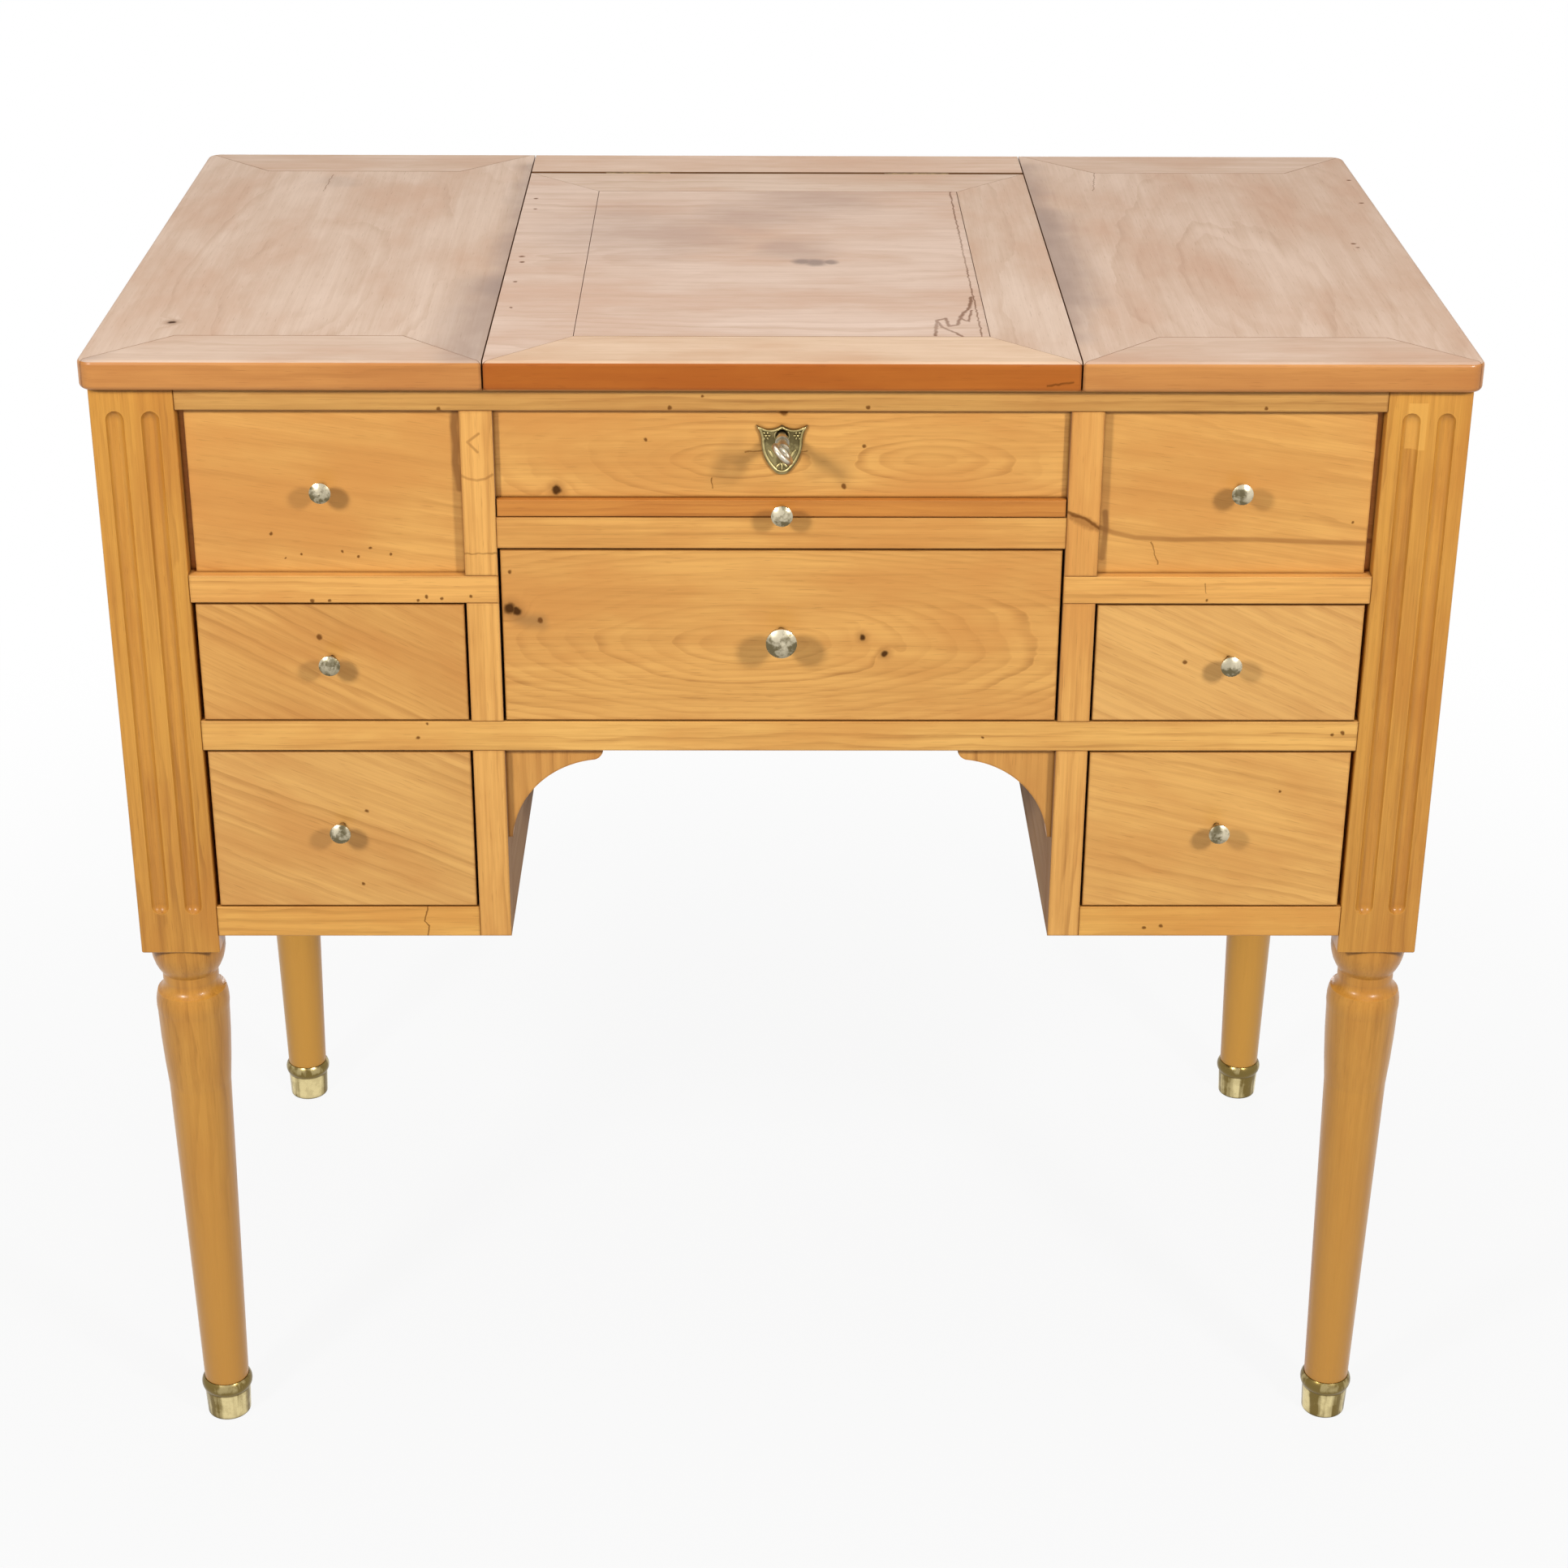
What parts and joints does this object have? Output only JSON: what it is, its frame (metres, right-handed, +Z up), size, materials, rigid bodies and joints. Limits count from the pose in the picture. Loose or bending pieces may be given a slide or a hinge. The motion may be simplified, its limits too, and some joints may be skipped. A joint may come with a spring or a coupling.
{
  "type": "dressing table",
  "caption": "Wooden dressing table: mirror lid between folding flaps, drawers and a writing slide round a kneehole, fluted posts on turned tapered legs with brass feet.",
  "frame": {"origin": "on the floor under the middle of the bounding box", "axes": "+X to the right seen from the front, +Y from front to back, +Z up"},
  "size_m": [0.7914, 0.5002, 0.74],
  "materials": {
    "cherry_case": "waxed cherry, worn satin",
    "cherry_top": "polished cherry, paler",
    "cherry_fronts": "waxed figured cherry",
    "inner_wood": "bare aged softwood and oak",
    "brass": "worn polished brass",
    "knob_metal": "pale worn brass",
    "iron": "dark iron",
    "mirror": "silvered glass"
  },
  "bodies": {
    "case": {"front_right_leg": "cherry_case", "front_left_leg": "cherry_case", "back_right_leg": "cherry_case", "back_left_leg": "cherry_case", "leg_sabots": "brass", "top_rail": "cherry_case", "middle_rails": "cherry_case", "centre_rail": "cherry_case", "main_rail": "cherry_case", "bottom_rails": "cherry_case", "front_stiles": "cherry_case", "partitions": "inner_wood", "pedestal_sides": "cherry_case", "side_rails": "cherry_case", "side_panels": "cherry_case", "back_panels": "inner_wood", "well_floors": "inner_wood", "slide_shelf": "inner_wood", "main_shelf": "inner_wood", "pedestal_floors": "inner_wood", "drawer_guides": "inner_wood", "false_fronts": "cherry_fronts", "lock_panel": "cherry_fronts", "kneehole_brackets": "cherry_case", "false_front_knobs": "knob_metal", "escutcheon": "brass", "lock_case": "iron", "top_back_strip": "cherry_top", "hinge_bases": "brass"},
    "lid": {"lid_frame": "cherry_top", "lid_panel": "cherry_top", "mirror_glass": "mirror", "mirror_beads": "cherry_case", "lid_hinge_leaves": "brass", "strike_plate": "brass"},
    "left_flap": {"left_flap_clamps": "cherry_top", "left_flap_board": "cherry_top", "left_flap_hinge_leaves": "brass"},
    "right_flap": {"right_flap_clamps": "cherry_top", "right_flap_board": "cherry_top", "right_flap_hinge_leaves": "brass"},
    "writing_slide": {"writing_slide": "cherry_fronts", "slide_knob": "knob_metal"},
    "centre_drawer": {"centre_drawer_front": "cherry_fronts", "centre_drawer_box": "inner_wood", "centre_drawer_knob": "knob_metal"},
    "left_middle_drawer": {"left_middle_drawer_front": "cherry_fronts", "left_middle_drawer_box": "inner_wood", "left_middle_drawer_knob": "knob_metal"},
    "right_middle_drawer": {"right_middle_drawer_front": "cherry_fronts", "right_middle_drawer_box": "inner_wood", "right_middle_drawer_knob": "knob_metal"},
    "left_lower_drawer": {"left_lower_drawer_front": "cherry_fronts", "left_lower_drawer_box": "inner_wood", "left_lower_drawer_knob": "knob_metal"},
    "right_lower_drawer": {"right_lower_drawer_front": "cherry_fronts", "right_lower_drawer_box": "inner_wood", "right_lower_drawer_knob": "knob_metal"},
    "key": {"key": "knob_metal"},
    "lock_bolt": {"lock_bolt": "iron"}
  },
  "joints": [
    {"name": "lid_hinge", "type": "hinge", "parent": "case", "child": "lid", "pos_m": [0, 0.2001, 0.7385], "axis": [-1, 0, 0], "range_deg": [0, 105]},
    {"name": "left_flap_hinge", "type": "hinge", "parent": "case", "child": "left_flap", "pos_m": [-0.39355, 0, 0.72215], "axis": [0, -1, 0], "range_deg": [0, 180]},
    {"name": "right_flap_hinge", "type": "hinge", "parent": "case", "child": "right_flap", "pos_m": [0.39355, 0, 0.72215], "axis": [0, 1, 0], "range_deg": [0, 180]},
    {"name": "writing_slide_run", "type": "slide", "parent": "case", "child": "writing_slide", "axis": [0, -1, 0], "range_m": [0, 0.28]},
    {"name": "centre_drawer_run", "type": "slide", "parent": "case", "child": "centre_drawer", "axis": [0, -1, 0], "range_m": [0, 0.3]},
    {"name": "left_middle_drawer_run", "type": "slide", "parent": "case", "child": "left_middle_drawer", "axis": [0, -1, 0], "range_m": [0, 0.3]},
    {"name": "right_middle_drawer_run", "type": "slide", "parent": "case", "child": "right_middle_drawer", "axis": [0, -1, 0], "range_m": [0, 0.3]},
    {"name": "left_lower_drawer_run", "type": "slide", "parent": "case", "child": "left_lower_drawer", "axis": [0, -1, 0], "range_m": [0, 0.3]},
    {"name": "right_lower_drawer_run", "type": "slide", "parent": "case", "child": "right_lower_drawer", "axis": [0, -1, 0], "range_m": [0, 0.3]},
    {"name": "bolt_throw", "type": "slide", "parent": "case", "child": "lock_bolt", "axis": [0, 0, 1], "range_m": [0, 0.007]},
    {"name": "key_turn", "type": "hinge", "parent": "case", "child": "key", "pos_m": [0, -0.2089, 0.693], "axis": [0, -1, 0], "range_deg": [0, 90]}
  ],
  "couplings": [
    {"joint": "key_turn", "follows": "bolt_throw", "rad_per_m": 224.4}
  ]
}
